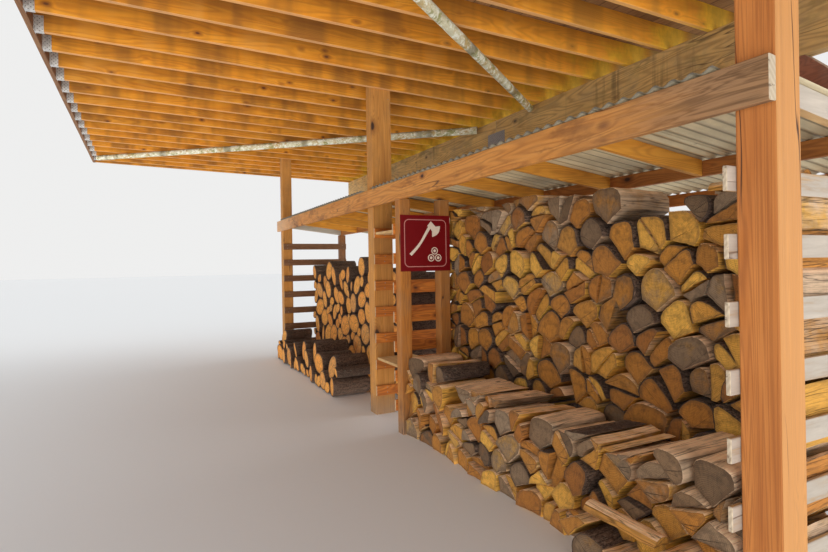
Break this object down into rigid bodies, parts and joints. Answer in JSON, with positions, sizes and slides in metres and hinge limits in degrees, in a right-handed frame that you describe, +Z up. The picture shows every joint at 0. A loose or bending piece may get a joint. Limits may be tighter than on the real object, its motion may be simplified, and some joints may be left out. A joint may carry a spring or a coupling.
{
  "type": "log store",
  "caption": "Open-fronted timber log store with a corrugated lean-to roof, slatted end walls, a tool closet and stacked firewood, under a joisted porch roof",
  "frame": {"origin": "On the ground under the middle of the high roof, the middle of the bounding box at its bottom face", "axes": "+X runs from the wall side to the back of the store, +Y along the roof away from the camera, +Z up"},
  "size_m": [4.952, 10.924, 3.4482],
  "materials": {
    "tall_post_timber": "rough",
    "short_post_timber": "rough",
    "back_timber": "rough",
    "rear_post_timber": "rough",
    "brace_timber": "rough",
    "girder_timber": "rough",
    "front_beam_timber": "rough",
    "ledger_timber": "rough",
    "joist_timber": "rough",
    "deck_boards": "rough",
    "galvanised_steel": "satin",
    "roof_sheet": "satin",
    "low_roof_sheet": "satin",
    "peeled_pole": "rough",
    "rafter_timber": "rough",
    "slat_wood_near": "rough",
    "slat_wood_divider": "rough",
    "slat_wood_closet": "rough",
    "slat_wood_far": "rough",
    "shelf_wood": "rough",
    "sign_face": "satin",
    "split_firewood": "rough",
    "round_firewood": "rough"
  },
  "bodies": {
    "root": {"post_near": "tall_post_timber", "post_middle": "tall_post_timber", "post_far": "tall_post_timber", "short_post_front": "short_post_timber", "short_post_back": "short_post_timber", "back_post_near": "back_timber", "back_post_divider": "back_timber", "back_post_middle": "back_timber", "back_post_far": "back_timber", "back_beam": "back_timber", "rear_beam": "back_timber", "rear_post_near": "rear_post_timber", "rear_post_middle": "rear_post_timber", "rear_post_far": "rear_post_timber", "knee_brace_near": "brace_timber", "knee_brace_far": "brace_timber", "girder_near": "girder_timber", "girder_far": "girder_timber", "front_beam": "front_beam_timber", "ledger": "ledger_timber", "joists": "joist_timber", "roof_deck": "deck_boards", "joist_hangers": "galvanised_steel", "splice_plate": "galvanised_steel", "roof_sheets": "roof_sheet", "low_roof_sheets": "low_roof_sheet", "diagonal_pole_far": "peeled_pole", "diagonal_pole_near": "peeled_pole", "low_rafters": "rafter_timber", "end_rafters": "rafter_timber", "near_slats": "slat_wood_near", "divider_slats": "slat_wood_divider", "closet_slats": "slat_wood_closet", "far_slats": "slat_wood_far", "closet_shelves": "shelf_wood", "sign": "sign_face", "split_stack_tall": "split_firewood", "split_stack_low": "split_firewood", "round_stack_tall": "round_firewood", "round_stack_low": "round_firewood"}
  },
  "joints": []
}
